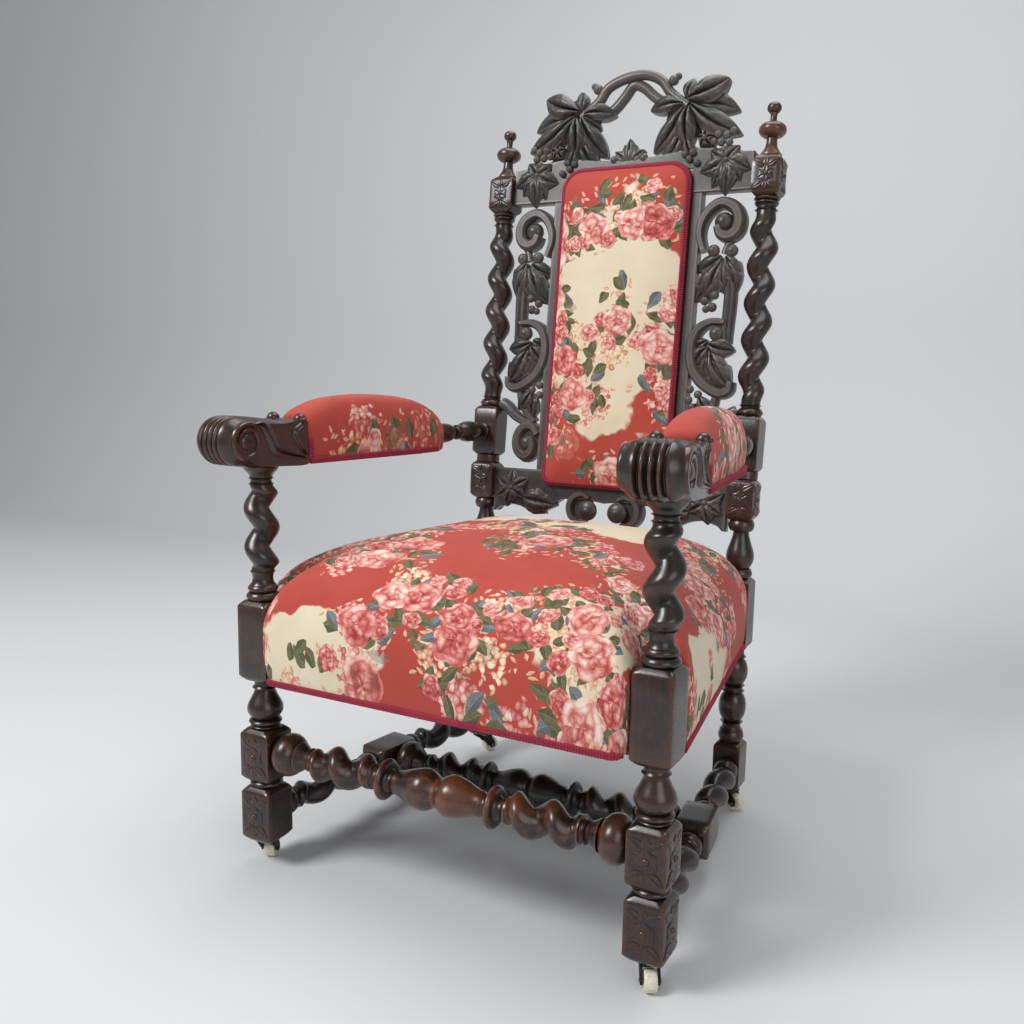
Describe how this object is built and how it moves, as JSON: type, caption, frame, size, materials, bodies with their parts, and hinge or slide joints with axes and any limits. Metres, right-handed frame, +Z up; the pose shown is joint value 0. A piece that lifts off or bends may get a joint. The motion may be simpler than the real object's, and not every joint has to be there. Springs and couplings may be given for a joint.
{
  "type": "carved open armchair",
  "caption": "High-backed open armchair in dark carved oak: twisted legs, posts and stretchers, pierced vine crest, sprung seat, padded arms and back, swivel castors.",
  "frame": {"origin": "on the floor under the middle of the chair's box", "axes": "+Z up, the chair faces -Y, +X to the right of someone who looks at its front"},
  "size_m": [0.6734, 0.6926, 1.2035],
  "materials": {
    "oak": "old dark stain, wax polish, worn highs",
    "printed_cover": "printed floral linen union",
    "webbing": "jute webbing",
    "bottom_cloth": "black calico",
    "spring_steel": "drawn wire",
    "castor_iron": "dark, worn",
    "axle_steel": "worn pin",
    "wheel_ceramic": "cream glaze"
  },
  "bodies": {
    "frame": {"front_leg_left": "oak", "front_leg_right": "oak", "back_post_left": "oak", "back_post_right": "oak", "finial_left": "oak", "finial_right": "oak", "side_stretcher_left": "oak", "side_stretcher_right": "oak", "front_stretcher": "oak", "cross_stretcher": "oak", "seat_rail_front": "oak", "seat_rail_back": "oak", "seat_rail_left": "oak", "seat_rail_right": "oak", "corner_block_front_left": "oak", "corner_block_front_right": "oak", "corner_block_back_left": "oak", "corner_block_back_right": "oak", "crest_rail": "oak", "lower_back_rail": "oak", "carved_side_left": "oak", "carved_side_right": "oak", "back_stile_left": "oak", "back_stile_right": "oak", "arm_left": "oak", "arm_right": "oak", "seat_pad": "printed_cover", "arm_pad_left": "printed_cover", "arm_pad_right": "printed_cover", "back_pad": "printed_cover", "outside_back": "printed_cover", "seat_webbing": "webbing", "bottom_cloth": "bottom_cloth", "seat_spring_front_left": "spring_steel", "seat_spring_front_right": "spring_steel", "seat_spring_middle": "spring_steel", "seat_spring_back_left": "spring_steel", "seat_spring_back_right": "spring_steel", "castor_plate_front_left": "castor_iron", "castor_plate_front_right": "castor_iron", "castor_plate_back_left": "castor_iron", "castor_plate_back_right": "castor_iron"},
    "castor_front_left": {"castor_horn_front_left": "castor_iron", "castor_axle_front_left": "axle_steel"},
    "wheel_front_left": {"castor_wheel_front_left": "wheel_ceramic"},
    "castor_front_right": {"castor_horn_front_right": "castor_iron", "castor_axle_front_right": "axle_steel"},
    "wheel_front_right": {"castor_wheel_front_right": "wheel_ceramic"},
    "castor_back_left": {"castor_horn_back_left": "castor_iron", "castor_axle_back_left": "axle_steel"},
    "wheel_back_left": {"castor_wheel_back_left": "wheel_ceramic"},
    "castor_back_right": {"castor_horn_back_right": "castor_iron", "castor_axle_back_right": "axle_steel"},
    "wheel_back_right": {"castor_wheel_back_right": "wheel_ceramic"}
  },
  "joints": [
    {"name": "swivel_front_left", "type": "hinge", "parent": "frame", "child": "castor_front_left", "pos_m": [-0.293, -0.25728, 0.03], "axis": [0, 0, 1], "continuous": true},
    {"name": "roll_front_left", "type": "hinge", "parent": "castor_front_left", "child": "wheel_front_left", "pos_m": [-0.29892, -0.24459, 0.0135], "axis": [-0.9063, -0.4226, 0], "continuous": true},
    {"name": "swivel_front_right", "type": "hinge", "parent": "frame", "child": "castor_front_right", "pos_m": [0.293, -0.25728, 0.03], "axis": [0, 0, 1], "continuous": true},
    {"name": "roll_front_right", "type": "hinge", "parent": "castor_front_right", "child": "wheel_front_right", "pos_m": [0.29957, -0.26964, 0.0135], "axis": [0.8829, 0.4695, 0], "continuous": true},
    {"name": "swivel_back_left", "type": "hinge", "parent": "frame", "child": "castor_back_left", "pos_m": [-0.234, 0.26072, 0.03], "axis": [0, 0, 1], "continuous": true},
    {"name": "roll_back_left", "type": "hinge", "parent": "castor_back_left", "child": "wheel_back_left", "pos_m": [-0.227, 0.27284, 0.0135], "axis": [-0.866, 0.5, 0], "continuous": true},
    {"name": "swivel_back_right", "type": "hinge", "parent": "frame", "child": "castor_back_right", "pos_m": [0.234, 0.26072, 0.03], "axis": [0, 0, 1], "continuous": true},
    {"name": "roll_back_right", "type": "hinge", "parent": "castor_back_right", "child": "wheel_back_right", "pos_m": [0.24769, 0.25781, 0.0135], "axis": [0.2079, 0.9781, 0], "continuous": true}
  ]
}
